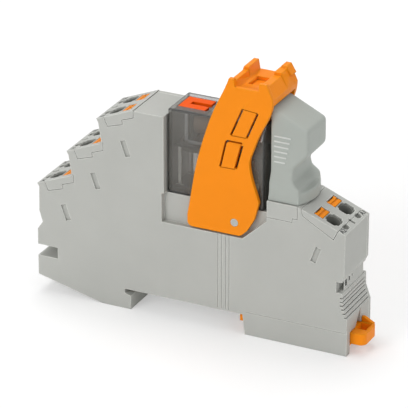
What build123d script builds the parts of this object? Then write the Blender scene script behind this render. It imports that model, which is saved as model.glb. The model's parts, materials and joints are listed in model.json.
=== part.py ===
from build123d import *
import math
import os

os.makedirs("parts", exist_ok=True)

# A slim plug-in relay module for a 35 mm rail, with push-in terminals.
# X runs along the module towards the coil terminals, Y across its width and Z up.
# The origin is at the middle of the seat on the rail.

# Base housing
module_width = 16.0
side_wall = 1.2
cover_thickness = 1.2
seam_gap = 0.14
foot_depth = 6.0
left_reach = 44.8
left_foot_corner = -1.1
side_slot_floor = 4.8
side_slot_top = 8.2
side_slot_depth = 6.2
shoulder_height = 13.0
waist_low = (-43.2, 15.3)
waist_high = (-44.2, 18.7)
tower_top = 54.5
tower_right = -5.3
ledge_top = 35.8
ledge_end = 35.1
coil_nose = (49.1, 30.2)
end_wall_foot = (49.0, 17.6)
end_wall_hook = (48.3, 16.2)
notch_top = 15.9
notch_bottom = 12.7
notch_back = 46.6
notch_fill = 6.4
notch_slots = [(-5.7, -4.5, 13.9), (-3.4, -2.5, 14.6), (-1.4, -0.8, 15.0)]
grip_wall = 48.5
leg_shoulder = (48.6, 8.9)
leg_end = 50.0
leg_end_top = 4.9
grip_count = 6
grip_pitch = 1.13
grip_first = 11.2
grip_height = 0.5
grip_depth = 0.55

# Rail seat
seat_left = -17.6
seat_right = 18.7
hook_tip = -15.7
hook_lip_inner = -1.3
hook_lip_outer = -1.9
hook_heel = -24.6
leg_inner_bottom = 19.4

# Terminal tiers on the left and the coil face on the right
tier_count = 3
tier_nose = (0.1 - left_reach, 27.0)
tier_pitch = (9.4, 11.55)
tier_face = (11.0, 4.5)
nose_lip = (0.6, -1.0)
terminal_offset = 4.0
insert_seam = [(2.4, 0.98), (3.5, -1.6), (8.0, -0.2), (7.8, 1.1), (11.35, 2.4), (11.35, 4.64)]
coil_insert_seam = [(36.0, 35.44), (36.5, 33.5), (45.6, 28.4), (46.9, 31.08)]
socket_seam = [(25.8, 36.2), (25.8, 31.0), (33.3, 31.0), (33.3, 32.1), (34.8, 32.1), (34.8, 36.2)]
guide_block_depth = 5.6
guide_block_width = 13.0
tier_guide = (2.4, 11.6)
coil_guide = (2.5, 13.0)
tier_entry_place = 5.0
tier_pusher_place = 9.0
tier_test_place = 1.75
coil_entry_place = 5.5
coil_pusher_place = 9.35
coil_test_place = 1.7
entry_length = 4.4
entry_width = 5.0
entry_notch = 0.75
entry_corner = 0.25
entry_depth = 5.0
entry_lining = 0.15
entry_sink = 0.45
wire_hole_top = 4.0
wire_hole_bottom = 2.6
pusher_length = 2.6
pusher_width = 4.6
pusher_height = 6.6
pusher_clearance = 0.2
pusher_sink = 0.1
pusher_groove = 0.5
pusher_notch = (0.7, 3.0, 0.8)
test_hole = (1.9, 2.5)
test_hole_corner = 0.55
test_slot = (2.3, 1.0)
test_slot_corner = 0.25
test_depth = 1.6

# Side marks pressed into both walls
recess_size = (1.6, 4.8)
recess_depth = 0.5
recess_tilt = 19.5
recess_offset = (8.9, -7.3)
right_recess = (40.45, 22.65)
wall_grooves = (11.2, 12.3, 13.6, 14.6)
wall_groove_width = 0.25
wall_groove_depth = 0.15
leg_groove = 0.9

# Lever pocket and socket deck
pocket_left = -6.0
pocket_floor = 23.0
pocket_corner = 18.5
pocket_right = 25.8
pocket_right_foot = 29.7
deck_top = 31.6
deck_half_width = 6.4
deck_foot = 21.8
web_groove_left = 2.6
web_groove_right = 8.6
web_groove_floor = 28.3

# Relay
relay_left = -4.8
relay_length = 29.0
relay_width = 12.7
relay_height = 25.0
relay_wall = 0.8
relay_base_thickness = 1.8
relay_skirt = 0.5
relay_cover_lift = 0.3
relay_corner = 0.6
relay_rim = 0.35
cover_clearance = 0.1
pin_offset = 3.75
pin_places = (2.4, 15.0, 20.0, 25.0)
pin_width = 2.4
pin_thickness = 0.5
pin_length = 4.2
clip_height = 6.2
clip_wall = 0.35
clip_clearance = 0.06
slot_clearance = 0.1

# Test tab on the relay
tab_left = 1.5
tab_length = 8.3
tab_width = 7.0
tab_thickness = 0.9
tab_slot_length = 5.6
tab_slot_width = 1.7
tab_clearance = 0.1
tab_pin_radius = 0.25
tab_pin_length = 0.5
tab_hinge_clearance = 0.05
tab_pocket_wall = 0.6
tab_nail_room = 0.7

# Coil, armature and contacts inside the relay
frame_height = 15.6
frame_thickness = 0.9
coil_rise = 4.4
coil_left = 5.4
coil_length = 15.6
coil_radius = 3.3
core_radius = 1.4
core_tip = 0.35
sleeve_thickness = 0.5
flange_thickness = 0.8
flange_half = 3.4
yoke_thickness = 1.0
yoke_width = 8.0
yoke_reach = 0.5
relay_gap = 0.1
post_thickness = 1.1
tray_end_gap = 0.6
card_rail = (5.0, 9.0)
rail_thickness = 0.95
armature_gap = 0.45
armature_thickness = 0.9
armature_half = 3.4
armature_bead = 0.6
armature_leg = 1.6
card_half = 2.4
card_thickness = 1.2
card_drop = 1.2
card_play = 0.15
card_end = 0.7
card_blade_room = (0.3, 0.6)
contact_button = 0.9
contact_button_height = 0.35
contact_button_offset = 2.85
contact_gap = 0.4
blade_thickness = 0.35
blade_half = 4.75
blade_neck = 1.4

# Retaining lever
pivot = (16.1, 27.3)
stud_radius = 1.1
stud_clearance = 0.06
arm_thickness = 1.25
bridge_radius = 37.7
trough_floor = 66.75
ridge_top = 69.5
horn_rise = 0.8
horn_length = 6.5
ear_rise = 0.7
ear_thickness = 3.0
trough_lip = 0.5
toe_radius = 1.5
web_centre = (4.1, 30.2)
web_radius = 1.0
bridge_recess = (17.6, 21.6)
bridge_recess_width = 6.0
bridge_recess_depth = 1.1
tongue_slot = 0.6
tongue_slot_wide = 0.85
tongue_corner = 1.0

# Plug-in module
plug_left = 25.95
plug_base_right = 35.0
plug_lift = 0.05
plug_bulge = 1.9
plug_bulge_height = 3.4
plug_base_width = 14.8
plug_head_width = 12.5
plug_base_top = 41.0
plug_shoulder = 44.2
plug_wall = 1.2
plug_back_edge = 62.7
plug_front_edge = (37.0, 57.45)
plug_head_bottom = 50.3
plug_waist = (32.6, 45.4)
plug_waist_foot = (32.6, 42.4)
plug_foot_edge = (34.8, 40.3)
plug_corner = 1.3
plug_round = 0.9
plug_waist_round = 2.0
rib_count = 6
rib_pitch = 1.49
rib_first = 54.6
rib_start = 27.0
rib_ends = (32.0, 30.4)
rib_height = 0.45
rib_proud = 0.3
plug_pin_steps = (2.25, 6.05)
plug_pin_offset = 3.0
plug_pin_size = (1.6, 0.6)
plug_pin_length = 4.0
plug_pin_top = 3.6
carrier_height = 2.55
board_span = (1.55, 5.35)
board_half = 0.6
led_place = 2.95
led_radius = 1.25
led_flange = (1.5, 0.6)
led_height = 1.0
board_room = 1.4
diode_place = (3.45, 1.7)
diode_radius = 1.1
diode_length = 5.0
diode_height = 8.6

# Foot latch
latch_width = 8.6
latch_side = -5.7
latch_top = 0.3
latch_bottom = -3.0
latch_clearance = 0.15
latch_reach = 54.3
latch_nose = 16.9
latch_nose_top = -1.25
latch_nose_bottom = -3.2
latch_nose_root = 20.0
latch_bar_bottom = -3.6
latch_flange = 0.8
latch_flange_top = -0.8
latch_flange_bottom = -2.4
latch_eye = (3.2, 4.0)
latch_eye_place = (51.7, -0.5)
latch_corner = 1.9
latch_fin = 1.8
latch_fin_foot = 53.6
latch_fin_crest = 50.9
latch_fin_width = 1.0
latch_travel = 2.5
slit_depth = 1.2
slit_wedge = [(-2.5, 0.2), (1.5, 0.2), (1.2, 5.2)]

# Busbars, clamp springs and the hollow they lie in
inner_wall = 1.4
rib_left = -7.2
rib_right = 24.8
rib_thickness = 1.2
mid_floor = 1.2
right_floor = 1.9
bar_thickness = 0.8
bar_width = 2.4
bar_layers = (2.2, 3.75, 5.3)
bar_levels = (8.0, 12.0, 16.0)
coil_layer = 0.9
coil_level = 4.0
bar_clearance = 0.3
jog_low = 19.2
jog_high = 20.4
bar_start = (0.8, 2.4)
bar_bends = [((8.3, -14.5), 12.1), ((9.3, -17.55), 14.3), ((9.5, -21.1), 13.5)]
coil_bar_bend = ((-9.5, -21.2), -14.5)
coil_bar_foot = (3.0, 3.5)
plug_contact_top = 29.4
clamp_plate_start = 6.0
clamp_plate_end = 12.5
clamp_plate_thickness = 0.8
clamp_half_width = 2.2
spring_thickness = 0.45
spring_reach = 7.4
peg_radius = 1.0
peg_length = 3.0
boss_radius = 1.9
pegs = [(-40.9, 12.2), (-9.4, 49.0), (-10.4, 3.6), (43.6, 12.0)]

half_width = module_width / 2
pocket_side = deck_half_width
relay_right = relay_left + relay_length
relay_top = deck_top + relay_height


def side_plane(y):
    return Plane(origin=(0, y, 0), x_dir=(1, 0, 0), z_dir=(0, -1, 0))


def outline(points):
    return make_face(Polyline(*points, close=True))


def prism(shape, y_low, y_high):
    face = outline(shape) if isinstance(shape, list) else shape
    return extrude(side_plane(y_high) * face, amount=y_high - y_low)


def block(x_low, x_high, y_low, y_high, z_low, z_high):
    size = (x_high - x_low, y_high - y_low, z_high - z_low)
    centre = ((x_high + x_low) / 2, (y_high + y_low) / 2, (z_high + z_low) / 2)
    return Pos(*centre) * Box(*size)


def soften(face, spots, radius):
    picked = [v for v in face.vertices() if any(math.dist((v.X, v.Y), s) < 0.05 for s in spots)]
    return fillet(picked, radius)


def save(solid, name):
    solid.label = name
    export_step(solid, f"parts/{name}.step")


# The three noses of the left tiers, lowest first.
noses = [
    (tier_nose[0] + k * tier_pitch[0], tier_nose[1] + k * tier_pitch[1]) for k in range(tier_count)
]
tier_slope = math.atan2(tier_face[1], tier_face[0])
coil_slope = math.atan2(ledge_top - coil_nose[1], coil_nose[0] - ledge_end)


def tier_frame(nose):
    # Local x climbs the face from its nose, local z points out of it.
    return Plane(
        origin=(nose[0], 0, nose[1]),
        x_dir=(math.cos(tier_slope), 0, math.sin(tier_slope)),
        z_dir=(-math.sin(tier_slope), 0, math.cos(tier_slope)),
    )


# The coil face's frame looks the other way, so its local y runs towards the front wall.
coil_frame = Plane(
    origin=(coil_nose[0], 0, coil_nose[1]),
    x_dir=(-math.cos(coil_slope), 0, math.sin(coil_slope)),
    z_dir=(math.sin(coil_slope), 0, math.cos(coil_slope)),
)


def base_outline():
    points = [
        (hook_heel, -foot_depth),
        (-left_reach, left_foot_corner),
        (-left_reach, side_slot_floor),
        (-left_reach + side_slot_depth, side_slot_floor),
        (-left_reach + side_slot_depth, side_slot_top),
        (-left_reach, side_slot_top),
        (-left_reach, shoulder_height),
        waist_low,
        waist_high,
    ]
    for x, z in noses:
        points += [(x + nose_lip[0], z + nose_lip[1]), (x, z), (x + tier_face[0], z + tier_face[1])]
    points[-1] = (
        noses[-1][0] + (tower_top - noses[-1][1]) / math.tan(tier_slope),
        tower_top,
    )
    points += [
        (tower_right, tower_top),
        (tower_right, deck_top),
        (pocket_right, deck_top),
        (pocket_right, ledge_top),
        (ledge_end, ledge_top),
        coil_nose,
        end_wall_foot,
        end_wall_hook,
        (end_wall_hook[0], notch_top),
        (notch_back, notch_top),
        (notch_back, notch_bottom),
        (grip_wall, notch_bottom),
        leg_shoulder,
        (leg_end, leg_end_top),
        (leg_end, -foot_depth),
        (leg_inner_bottom, -foot_depth),
        (seat_right, 0),
        (seat_left, 0),
        (seat_left, hook_lip_inner),
        (hook_tip, hook_lip_outer),
        (hook_tip, -foot_depth),
    ]
    return points


def lever_pocket(grow=0.0):
    return [
        (pocket_left, deck_top),
        (pocket_left, pocket_floor),
        (pocket_corner, pocket_floor),
        (pocket_right, pocket_right_foot),
        (pocket_right, ledge_top + grow),
        (tower_right, ledge_top + grow),
        (tower_right, deck_top),
    ]


def tilted_mark(centre, tilt):
    mark = Rot(0, 0, tilt) * Rectangle(*recess_size)
    return Pos(centre[0], centre[1]) * mark


def side_recesses():
    marks = [
        tilted_mark((x + recess_offset[0], z + recess_offset[1]), recess_tilt) for x, z in noses
    ]
    marks.append(tilted_mark(right_recess, -recess_tilt))
    cutters = []
    for mark in marks:
        cutters.append(prism(mark, -half_width - 1, -half_width + recess_depth))
        cutters.append(prism(mark, half_width - recess_depth, half_width + 1))
    return cutters


def wall_lines():
    # Faint lines in both walls, under the lever and across the right leg.
    wide = wall_groove_width / 2
    lines = []
    for x in wall_grooves:
        lines.append([(x - wide, 0.5), (x + wide, 0.5), (x + wide, pocket_floor), (x - wide, pocket_floor)])
    lines.append(
        [
            (seat_right + 1, leg_groove - wide),
            (leg_end + 1, leg_groove - wide),
            (leg_end + 1, leg_groove + wide),
            (seat_right + 1, leg_groove + wide),
        ]
    )
    cutters = []
    for line in lines:
        cutters.append(prism(line, -half_width - 1, -half_width + wall_groove_depth))
        cutters.append(prism(line, half_width - wall_groove_depth, half_width + 1))
    return cutters


def grip_grooves():
    cutters = []
    for k in range(grip_count):
        z = grip_first - k * grip_pitch
        lean = max(0.0, (leg_shoulder[1] - z) / (leg_shoulder[1] - leg_end_top))
        x = leg_shoulder[0] + lean * (leg_end - leg_shoulder[0])
        groove = [
            (x - grip_depth, z),
            (x + 1, z - grip_height / 2),
            (x + 1, z + grip_height / 2 + 0.1),
        ]
        cutters.append(prism(groove, -half_width - 1, half_width + 1))
    return cutters


def latch_channel():
    low = latch_side - latch_clearance
    high = latch_side + latch_width + latch_clearance
    main = block(leg_inner_bottom - 1.5, leg_end + 1, low, high, -foot_depth - 1, latch_top + latch_clearance)
    grooves = block(
        leg_inner_bottom + side_wall,
        leg_end - side_wall,
        low - latch_flange,
        high + latch_flange,
        latch_flange_bottom - latch_clearance,
        latch_flange_top + latch_clearance,
    )
    # A wedge open to the end face, where a screwdriver finds its way down.
    wedge = Plane(origin=(leg_end - slit_depth, 0, 0), x_dir=(0, 1, 0), z_dir=(1, 0, 0))
    slit = extrude(wedge * outline(slit_wedge), amount=slit_depth + 1)
    return [main, grooves, slit]


def tier_insert_outline(nose):
    return [(nose[0] + x, nose[1] + z) for x, z in insert_seam]


def guide_block(frame, near, far):
    # The part of a terminal insert that reaches inside the housing around its holes.
    return frame * Pos((near + far) / 2, 0, -guide_block_depth / 2) * Box(
        far - near, guide_block_width, guide_block_depth
    )


def entry_sketch(shrink=0.0):
    long = entry_length - 2 * shrink
    wide = entry_width - 2 * shrink
    cross = Rectangle(long, wide - 2 * entry_notch) + Rectangle(long - 2 * entry_notch, wide)
    return chamfer(cross.vertices(), entry_corner)


def terminal_openings(frame, entry_place, pusher_place, test_place):
    cutters = []
    for side in (-1, 1):
        y = side * terminal_offset
        entry = frame * Pos(entry_place, y, 1) * entry_sketch()
        cutters.append(extrude(entry, amount=-(guide_block_depth + 2)))
        pusher = frame * Pos(pusher_place, y, 1) * Rectangle(
            pusher_length + 2 * pusher_clearance, pusher_width + 2 * pusher_clearance
        )
        cutters.append(extrude(pusher, amount=-(guide_block_depth + 2)))
        opening = Rectangle(*test_hole)
        hole = frame * Pos(test_place, y, 1) * chamfer(opening.vertices(), test_hole_corner)
        cutters.append(extrude(hole, amount=-(1 + test_depth)))
    opening = Rectangle(*test_slot)
    slot = frame * Pos(test_place, 0, 1) * chamfer(opening.vertices(), test_slot_corner)
    cutters.append(extrude(slot, amount=-(1 + test_depth)))
    return cutters


def conductor_entries(frame, entry_place):
    entries = []
    for side in (-1, 1):
        at = frame * Pos(entry_place, side * terminal_offset, -entry_sink)
        shell = extrude(at * entry_sketch(entry_lining), amount=-entry_depth)
        funnel = Cone(wire_hole_bottom / 2, wire_hole_top / 2, entry_depth)
        entries.append(shell - at * Pos(0, 0, -entry_depth / 2) * funnel)
    return entries


def pusher(frame, pusher_place, side):
    at = frame * Pos(pusher_place, side * terminal_offset, -pusher_sink - pusher_height / 2)
    body = at * Box(pusher_length, pusher_width, pusher_height)
    groove = at * Pos(0, 0, pusher_height / 2) * Box(pusher_groove, pusher_width + 1, pusher_groove)
    notch = at * Pos(pusher_length / 2, 0, pusher_height / 2) * Box(*pusher_notch)
    return body - groove - notch


def base_solids():
    body = prism(base_outline(), -half_width, half_width)
    pocket = lever_pocket(1.0)
    body -= prism(pocket, -half_width - 1, -pocket_side)
    body -= prism(pocket, pocket_side, half_width + 1)
    body -= side_recesses()
    body -= wall_lines()
    # The notch under the end wall is open at both walls and has three small slots between.
    body += block(
        notch_back - 0.5, end_wall_hook[0], -notch_fill, notch_fill, notch_bottom - 0.5, notch_top + 0.3
    )
    for low, high, foot in notch_slots:
        body -= block(notch_back + 0.3, grip_wall + 1, low, high, foot, notch_top)
    body -= grip_grooves()
    body -= latch_channel()
    # Seats of the terminal inserts, a seam wider than the inserts.
    for nose in noses:
        seat = offset(outline(tier_insert_outline(nose)), amount=seam_gap, kind=Kind.INTERSECTION)
        body -= prism(seat, -half_width - 1, half_width + 1)
        body -= guide_block(tier_frame(nose), tier_guide[0] - seam_gap, tier_guide[1] + seam_gap)
    seat = offset(outline(coil_insert_seam), amount=seam_gap, kind=Kind.INTERSECTION)
    body -= prism(seat, -half_width - 1, half_width + 1)
    body -= guide_block(coil_frame, coil_guide[0] - seam_gap, coil_guide[1] + seam_gap)
    seat = offset(outline(socket_seam), amount=seam_gap, kind=Kind.INTERSECTION)
    body -= prism(seat, -half_width - 1, half_width + 1)
    body -= web_groove()
    body -= pin_slots()
    return body


def web_groove():
    return block(
        web_groove_left, web_groove_right, -half_width - 1, half_width + 1, web_groove_floor, deck_top + 1
    )


def pin_stations():
    return [(relay_left + place, side * pin_offset) for place in pin_places for side in (-1, 1)]


def pin_slots():
    across = pin_thickness + 2 * (clip_wall + clip_clearance + slot_clearance)
    along = pin_width + 2 * slot_clearance
    return [
        Pos(x, y, (deck_top + 20) / 2) * Box(along, across, deck_top - 20 + 2) for x, y in pin_stations()
    ]


def hollow():
    # The space inside the housing, in three rooms with the socket deck standing above the middle one.
    room = offset(outline(base_outline()), amount=-inner_wall, kind=Kind.INTERSECTION)
    left_room = Pos(rib_left - 50, 25) * Rectangle(100, 100)
    mid_room = Pos((rib_left + rib_thickness + rib_right) / 2, (mid_floor + deck_foot) / 2) * Rectangle(
        rib_right - rib_left - rib_thickness, deck_foot - mid_floor
    )
    right_room = Pos(rib_right + rib_thickness + 50, right_floor + 50) * Rectangle(100, 100)
    reach = half_width - side_wall
    rooms = []
    for zone in (left_room, mid_room, right_room):
        for face in (room & zone).faces():
            rooms.append(prism(face, -reach, reach))
    return rooms


def bar_windows():
    # Slots in the ribs, open to the cover so that the bars can be laid in.
    reach = half_width - side_wall
    windows = []
    for layer, level in zip(bar_layers, bar_levels):
        low = -layer - bar_thickness / 2 - bar_clearance
        tall = bar_width / 2 + bar_clearance
        windows.append(block(rib_left - 1, rib_left + 2, low, reach, level - tall, level + tall))
    low = -coil_layer - bar_thickness / 2 - bar_clearance
    tall = bar_width / 2 + bar_clearance
    windows.append(block(rib_right - 1, rib_right + 2, low, reach, coil_level - tall, coil_level + tall))
    return windows


def along_y(x, z, radius, y_low, y_high):
    return extrude(side_plane(y_high) * Pos(x, z) * Circle(radius), amount=y_high - y_low)


shell = base_solids() - hollow() - bar_windows()
split_line = half_width - cover_thickness
cover_side = block(-60, 60, split_line, 20, -20, 80)
side_cover = shell & cover_side
housing = shell - cover_side
for x, z in pegs:
    housing += along_y(x, z, boss_radius, -half_width + side_wall, split_line)
    housing -= along_y(x, z, peg_radius, split_line - peg_length - 0.3, split_line + 1)
    side_cover += along_y(x, z, peg_radius, split_line - peg_length, split_line + 0.1)
# The lever turns on two studs that stand out from the deck.
housing += along_y(*pivot, stud_radius, pocket_side - 0.5, half_width)
housing += along_y(*pivot, stud_radius, -half_width, -pocket_side + 0.5)
save(housing, "housing")
save(side_cover, "side_cover")


def insert_solid(shape, frame, near, far, places):
    face = outline(shape)
    body = prism(face, -half_width, half_width)
    body += guide_block(frame, near, far)
    return body - terminal_openings(frame, *places)


for k, nose in enumerate(noses):
    frame = tier_frame(nose)
    places = (tier_entry_place, tier_pusher_place, tier_test_place)
    body = insert_solid(tier_insert_outline(nose), frame, *tier_guide, places)
    save(body, f"terminal_insert_{k + 1}")
    save(Compound(children=conductor_entries(frame, tier_entry_place)), f"conductor_entries_{k + 1}")
places = (coil_entry_place, coil_pusher_place, coil_test_place)
save(insert_solid(coil_insert_seam, coil_frame, *coil_guide, places), "coil_insert")
save(Compound(children=conductor_entries(coil_frame, coil_entry_place)), "coil_entries")

# Push buttons, numbered along the tiers from the front wall to the cover side.
number = 0
rows = [(tier_frame(nose), tier_pusher_place, 1) for nose in noses]
rows.append((coil_frame, coil_pusher_place, -1))
for frame, place, towards in rows:
    for side in (-towards, towards):
        number += 1
        save(pusher(frame, place, side), f"pusher_{number}")


def bent_strip(points, width):
    # A flat strip drawn by the line through its middle.
    return trace(Polyline(*points), line_width=width)


def clamp_spring(frame, side, plate_place):
    # Seen from the side, in the terminal's own frame: x along the face and y out of it.
    near = plate_place + clamp_plate_thickness / 2 + spring_thickness / 2
    end = near + spring_reach
    path = [
        (near, -clamp_plate_end + 0.3),
        (end - 1.3, -clamp_plate_end + 0.3),
        (end - 0.3, -clamp_plate_end + 1.2),
        (end, -clamp_plate_end + 2.4),
        (end - 0.5, -clamp_plate_end + 3.5),
        (end - 1.6, -clamp_plate_end + 4.0),
        (end - 2.6, -clamp_plate_end + 3.8),
        (near, -clamp_plate_end + 1.7),
    ]
    low = side * terminal_offset - clamp_half_width
    upright = frame * Plane(origin=(0, low + 2 * clamp_half_width, 0), x_dir=(1, 0, 0), z_dir=(0, -1, 0))
    return extrude(upright * bent_strip(path, spring_thickness), amount=2 * clamp_half_width)


def contact_plate(frame, side, place):
    long = clamp_plate_end - clamp_plate_start
    return frame * Pos(place, side * terminal_offset, -(clamp_plate_start + long / 2)) * Box(
        clamp_plate_thickness, 2 * clamp_half_width, long
    )


def layer_strip(points, layer, side):
    middle = side * layer
    return prism(bent_strip(points, bar_width), middle - bar_thickness / 2, middle + bar_thickness / 2)


def slot_stem(x, layer, side):
    # From the strip across to the line of the pins, then up into the slot of the deck.
    ends = sorted((side * (layer - bar_thickness / 2), side * (pin_offset + bar_thickness / 2)))
    far = sorted((side * (layer + bar_thickness / 2), side * (pin_offset - bar_thickness / 2)))
    low = min(ends + far)
    high = max(ends + far)
    cross = block(x - bar_width / 2, x + bar_width / 2, low, high, jog_low, jog_high)
    middle = side * pin_offset
    top = deck_top - relay_skirt - clip_height
    stem = block(
        x - pin_width / 2 + 0.2, x + pin_width / 2 - 0.2, middle - 0.4, middle + 0.4, jog_low, top
    )
    return cross + stem


def face_point(frame, along, deep):
    spot = frame.from_local_coords((along, 0, -deep))
    return (spot.X, spot.Z)


tier_plate_place = tier_entry_place - wire_hole_bottom / 2 - clamp_plate_thickness / 2
coil_plate_place = coil_entry_place - wire_hole_bottom / 2 - clamp_plate_thickness / 2
springs = []
for k, nose in enumerate(noses):
    frame = tier_frame(nose)
    x = relay_left + pin_places[k + 1]
    bend, level_start = bar_bends[k]
    bends = [(nose[0] + bend[0], nose[1] + bend[1]), (nose[0] + level_start, bar_levels[k])]
    halves = []
    for side in (-1, 1):
        start = face_point(frame, tier_plate_place - bar_start[0], clamp_plate_end - bar_start[1])
        path = [start] + bends + [(x, bar_levels[k]), (x, jog_high)]
        strip = layer_strip(path, bar_layers[k], side)
        plate = contact_plate(frame, side, tier_plate_place)
        halves.append(strip + plate + slot_stem(x, bar_layers[k], side))
        springs.append(clamp_spring(frame, side, tier_plate_place))
    save(Compound(children=halves), f"busbar_{k + 1}")
halves = []
plug_contact = plug_left + plug_pin_steps[0]
for side in (-1, 1):
    x = relay_left + pin_places[0]
    start = face_point(coil_frame, coil_plate_place - bar_start[0], clamp_plate_end - bar_start[1])
    bend, level_start = coil_bar_bend
    path = [start, (coil_nose[0] + bend[0], coil_nose[1] + bend[1])]
    path += [(coil_nose[0] + level_start, coil_level), (x, coil_level), (x, jog_high)]
    bar = layer_strip(path, coil_layer, side)
    # The strip lies nearer the middle than the plate, so a foot joins them.
    foot_length, foot_width = coil_bar_foot
    foot_middle = coil_layer - bar_thickness / 2 + foot_width / 2
    foot = coil_frame * Pos(
        coil_plate_place, -side * foot_middle, foot_length / 2 - clamp_plate_end
    ) * Box(clamp_plate_thickness, foot_width, foot_length)
    bar += contact_plate(coil_frame, -side, coil_plate_place) + foot + slot_stem(x, coil_layer, side)
    bar += layer_strip([(plug_contact, coil_level), (plug_contact, plug_contact_top)], coil_layer, side)
    near = side * (coil_layer - bar_thickness / 2)
    far = side * (plug_pin_offset + plug_pin_size[1] / 2)
    bar += block(
        plug_contact - plug_pin_size[0] / 2, plug_contact + plug_pin_size[0] / 2,
        min(near, far), max(near, far), plug_contact_top - 1, plug_contact_top,
    )
    halves.append(bar)
    springs.append(clamp_spring(coil_frame, -side, coil_plate_place))
save(Compound(children=halves), "coil_bars")
save(Compound(children=springs), "clamp_springs")


def socket_clip(x, y):
    gap = pin_thickness / 2 + clip_clearance
    reach = gap + clip_wall
    top = deck_top - relay_skirt
    outer = block(x - pin_width / 2, x + pin_width / 2, y - reach, y + reach, top - clip_height, top)
    return outer - block(x - 5, x + 5, y - gap, y + gap, top - clip_height + 0.8, top + 1)


save(Compound(children=[socket_clip(x, y) for x, y in pin_stations()]), "socket_clips")

# Socket of the plug-in module, in the same colour as the housing.
socket_top = [(socket_seam[5][0], ledge_top), (socket_seam[0][0], ledge_top)]
socket = prism(socket_seam[1:5] + socket_top, -half_width, half_width)


def plug_pin_spots():
    return [(plug_left + step, side * plug_pin_offset) for step in plug_pin_steps for side in (-1, 1)]


for x, y in plug_pin_spots():
    room = 2 * slot_clearance
    socket -= Pos(x, y, ledge_top) * Box(plug_pin_size[0] + room, plug_pin_size[1] + room, 20)
save(socket, "plug_in_socket")

# Retaining lever: two arms, a bridge over the relay and a bar under its toe.
arm_left = [(1.9, 27.0), (3.1, 34.0), (4.6, 42.4), (7.4, 52.6), (9.7, 59.1), (12.3, 64.7), (13.9, 68.3)]
arm_right = [(27.3, 65.3), (26.3, 60.3), (23.4, 54.3), (21.5, 49.3), (20.6, 46.5), (20.9, 42.5)]
arm_right += [(22.2, 38.1), (23.4, 34.5)]
arm_heel = [(22.0, 29.2), (19.9, 25.5), (19.3, 24.9), (18.5, 24.1), (17.6, 23.6)]
arm_toe = [(1.9, 23.6)]
ridge_left = (14.3, 15.7)
ridge_right = (23.3, 25.4)
trough = (16.2, 23.0)
ear_foot = (22.9, 26.9)
ear_crest = (23.9, 25.4)
upper_slots = [[(18.4, 61.2), (15.0, 53.1)], [(22.9, 60.8), (19.7, 53.1)]]
tongue_left = [(11.8, 43.2), (13.6, 51.2), (18.4, 51.2), (18.2, 50.0)]
tongue_right = [(18.3, 50.6), (16.4, 43.4)]
crest = ridge_top - horn_rise


def lever_face(top):
    rim = [
        arm_left[-1],
        (ridge_left[0], top),
        (ridge_left[1], top),
        (trough[0], trough_floor),
        (trough[1], trough_floor),
        (ridge_right[0], top),
        (ridge_right[1], top),
        arm_right[0],
    ]
    low = [arm_right[-1]] + arm_heel + arm_toe + [arm_left[0]]
    edges = Spline(*arm_left).edges() + Polyline(*rim).edges()
    edges += Spline(*arm_right).edges() + Polyline(*low).edges()
    return soften(make_face(edges), arm_toe, toe_radius)


lever_shape = lever_face(crest)
arm_shape = lever_shape
for line in upper_slots:
    arm_shape -= bent_strip(line, tongue_slot)
arm_shape -= trace(FilletPolyline(*tongue_left[:3], radius=tongue_corner), line_width=tongue_slot)
arm_shape -= bent_strip(tongue_right, tongue_slot_wide)
arm_shape -= Pos(*pivot) * Circle(stud_radius + stud_clearance)
bridge_shape = lever_shape - Pos(*pivot) * Circle(bridge_radius)
arm_inner = half_width - arm_thickness
lever = prism(arm_shape, -half_width, -arm_inner) + prism(arm_shape, arm_inner, half_width)
lever += [prism(face, -arm_inner, arm_inner) for face in bridge_shape.faces()]
horn_shape = lever_face(ridge_top) - lever_shape
for face in horn_shape.faces():
    lever += prism(face, half_width - horn_length, half_width)
    lever += prism(face, -half_width, -half_width + arm_thickness)
lever += along_y(*web_centre, web_radius, -arm_inner - 0.3, arm_inner + 0.3)
# A taller ear behind the right ridge, and a low lip in front of the trough.
ear = [(ear_foot[0], crest - 1), (ear_crest[0], ridge_top + ear_rise), (ear_crest[1], ridge_top + ear_rise)]
ear.append((ear_foot[1], crest - 1))
lever += prism(ear, half_width - ear_thickness, half_width)
lip = [(trough[0] - 0.5, trough_floor - 0.5), (trough[1] + 0.5, trough_floor - 0.5)]
lip += [(trough[1] + 0.3, trough_floor + trough_lip), (trough[0] - 0.3, trough_floor + trough_lip)]
lever += prism(lip, -half_width, -arm_inner)
lever -= block(
    bridge_recess[0], bridge_recess[1], -bridge_recess_width / 2, bridge_recess_width / 2,
    trough_floor - bridge_recess_depth, ridge_top + 10,
)
save(lever, "lever")

# Relay cover and base. The test tab turns in a shallow pocket in the top of the cover.
cover_foot = deck_top + relay_cover_lift
cover = block(relay_left, relay_right, -relay_width / 2, relay_width / 2, cover_foot, relay_top)
cover = fillet(cover.edges().filter_by(Axis.Z), relay_corner)
cover = chamfer(cover.edges().group_by(Axis.Z)[-1], relay_rim)
inside = relay_width / 2 - relay_wall
cover -= block(
    relay_left + relay_wall, relay_right - relay_wall, -inside, inside, 0, relay_top - relay_wall
)
hinge = (relay_left + tab_left + tab_thickness / 2, relay_top - tab_thickness / 2)
tab_half = tab_width / 2
tab_right = relay_left + tab_left + tab_length
pocket_low = relay_top - tab_thickness - tab_clearance / 2
pocket_half = tab_half + tab_clearance
pocket_start = relay_left + tab_left - tab_clearance
pocket_end = tab_right + tab_nail_room
cover += block(
    pocket_start - tab_pocket_wall, pocket_end + tab_pocket_wall, -pocket_half - tab_pocket_wall,
    pocket_half + tab_pocket_wall, pocket_low - tab_pocket_wall, relay_top - relay_wall / 2,
)
cover -= block(pocket_start, pocket_end, -pocket_half, pocket_half, pocket_low, relay_top + 1)
pin_hole = pocket_half + tab_pin_length
cover -= along_y(*hinge, tab_pin_radius + tab_hinge_clearance, -pin_hole, pin_hole)
save(cover, "relay_cover")

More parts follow.
